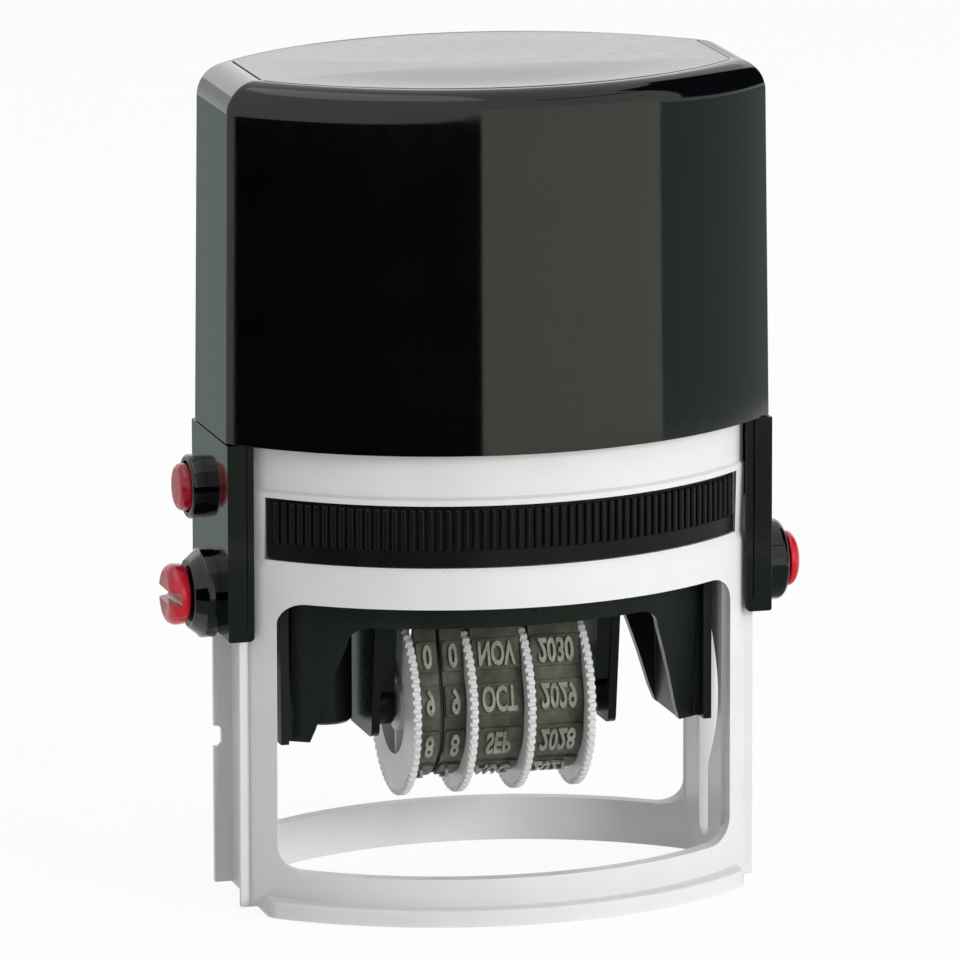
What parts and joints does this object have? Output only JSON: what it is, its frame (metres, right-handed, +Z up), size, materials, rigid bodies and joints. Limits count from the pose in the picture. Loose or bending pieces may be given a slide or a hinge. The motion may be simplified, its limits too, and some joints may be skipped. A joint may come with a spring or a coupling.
{
  "type": "self-inking rotary date stamp",
  "caption": "Self-inking oval date stamp: pressing the hood lowers an axle on which the plate and its date bands turn over to print.",
  "frame": {"origin": "middle of the foot, on the surface the stamp stands on", "axes": "+Z up along the handle's stroke; +X along the long side of the oval, towards the end without the lock; -Y is the front with the ribbed grip of the ink cassette"},
  "size_m": [0.0937, 0.0558, 0.1194],
  "materials": {
    "black_gloss": "moulded, glossy",
    "black_satin": "moulded, satin",
    "light_grey": "moulded, satin",
    "signal_red": "moulded, glossy",
    "wheel_white": "moulded, satin",
    "band_rubber": "moulded, dull",
    "plate_rubber": "engraved, dull",
    "ink_felt": "soaked felt",
    "steel": "drawn wire"
  },
  "bodies": {
    "frame": {"base_frame": "light_grey", "return_spring": "steel"},
    "handle": {"handle_cap": "black_gloss", "top_cover": "black_gloss", "handle_yoke": "black_gloss", "lock_collar": "black_gloss", "axle_bush_left": "black_gloss", "axle_bush_right": "black_gloss", "axle_pin_right": "signal_red"},
    "lock": {"lock_button": "signal_red"},
    "knob": {"axle_knob": "signal_red"},
    "cassette": {"pad_cassette": "black_satin", "ink_pad": "ink_felt"},
    "carrier": {"plate_carrier": "black_satin", "text_plate": "plate_rubber", "date_frame": "black_satin", "wheel_shaft": "steel", "date_band_1": "band_rubber", "date_band_2": "band_rubber", "date_band_3": "band_rubber", "date_band_4": "band_rubber"},
    "wheel_1": {"date_wheel_1": "wheel_white"},
    "wheel_2": {"date_wheel_2": "wheel_white"},
    "wheel_3": {"date_wheel_3": "wheel_white"},
    "wheel_4": {"date_wheel_4": "wheel_white"}
  },
  "joints": [
    {"name": "handle_press", "type": "slide", "parent": "frame", "child": "handle", "axis": [0, 0, -1], "range_m": [0, 0.0382], "stiffness_N_per_m": 600, "springref_m": -0.005, "deforming": ["return_spring"]},
    {"name": "carrier_flip", "type": "hinge", "parent": "handle", "child": "carrier", "pos_m": [0, 0, 0.0446], "axis": [1, 0, 0], "range_deg": [0, 180]},
    {"name": "wheel_1_turn", "type": "hinge", "parent": "carrier", "child": "wheel_1", "pos_m": [0, 0, 0.0268], "axis": [1, 0, 0], "continuous": true},
    {"name": "wheel_2_turn", "type": "hinge", "parent": "carrier", "child": "wheel_2", "pos_m": [0, 0, 0.0268], "axis": [1, 0, 0], "continuous": true},
    {"name": "wheel_3_turn", "type": "hinge", "parent": "carrier", "child": "wheel_3", "pos_m": [0, 0, 0.0268], "axis": [1, 0, 0], "continuous": true},
    {"name": "wheel_4_turn", "type": "hinge", "parent": "carrier", "child": "wheel_4", "pos_m": [0, 0, 0.0268], "axis": [1, 0, 0], "continuous": true},
    {"name": "knob_turn", "type": "hinge", "parent": "handle", "child": "knob", "pos_m": [-0.045, 0, 0.0446], "axis": [1, 0, 0], "range_deg": [0, 90]},
    {"name": "lock_push", "type": "slide", "parent": "handle", "child": "lock", "axis": [1, 0, 0], "range_m": [0, 0.001]},
    {"name": "cassette_slide", "type": "slide", "parent": "frame", "child": "cassette", "axis": [0, 1, 0], "range_m": [-0.045, 0]}
  ],
  "couplings": [
    {"joint": "carrier_flip", "follows": "handle_press", "rad_per_m": 82.24}
  ]
}
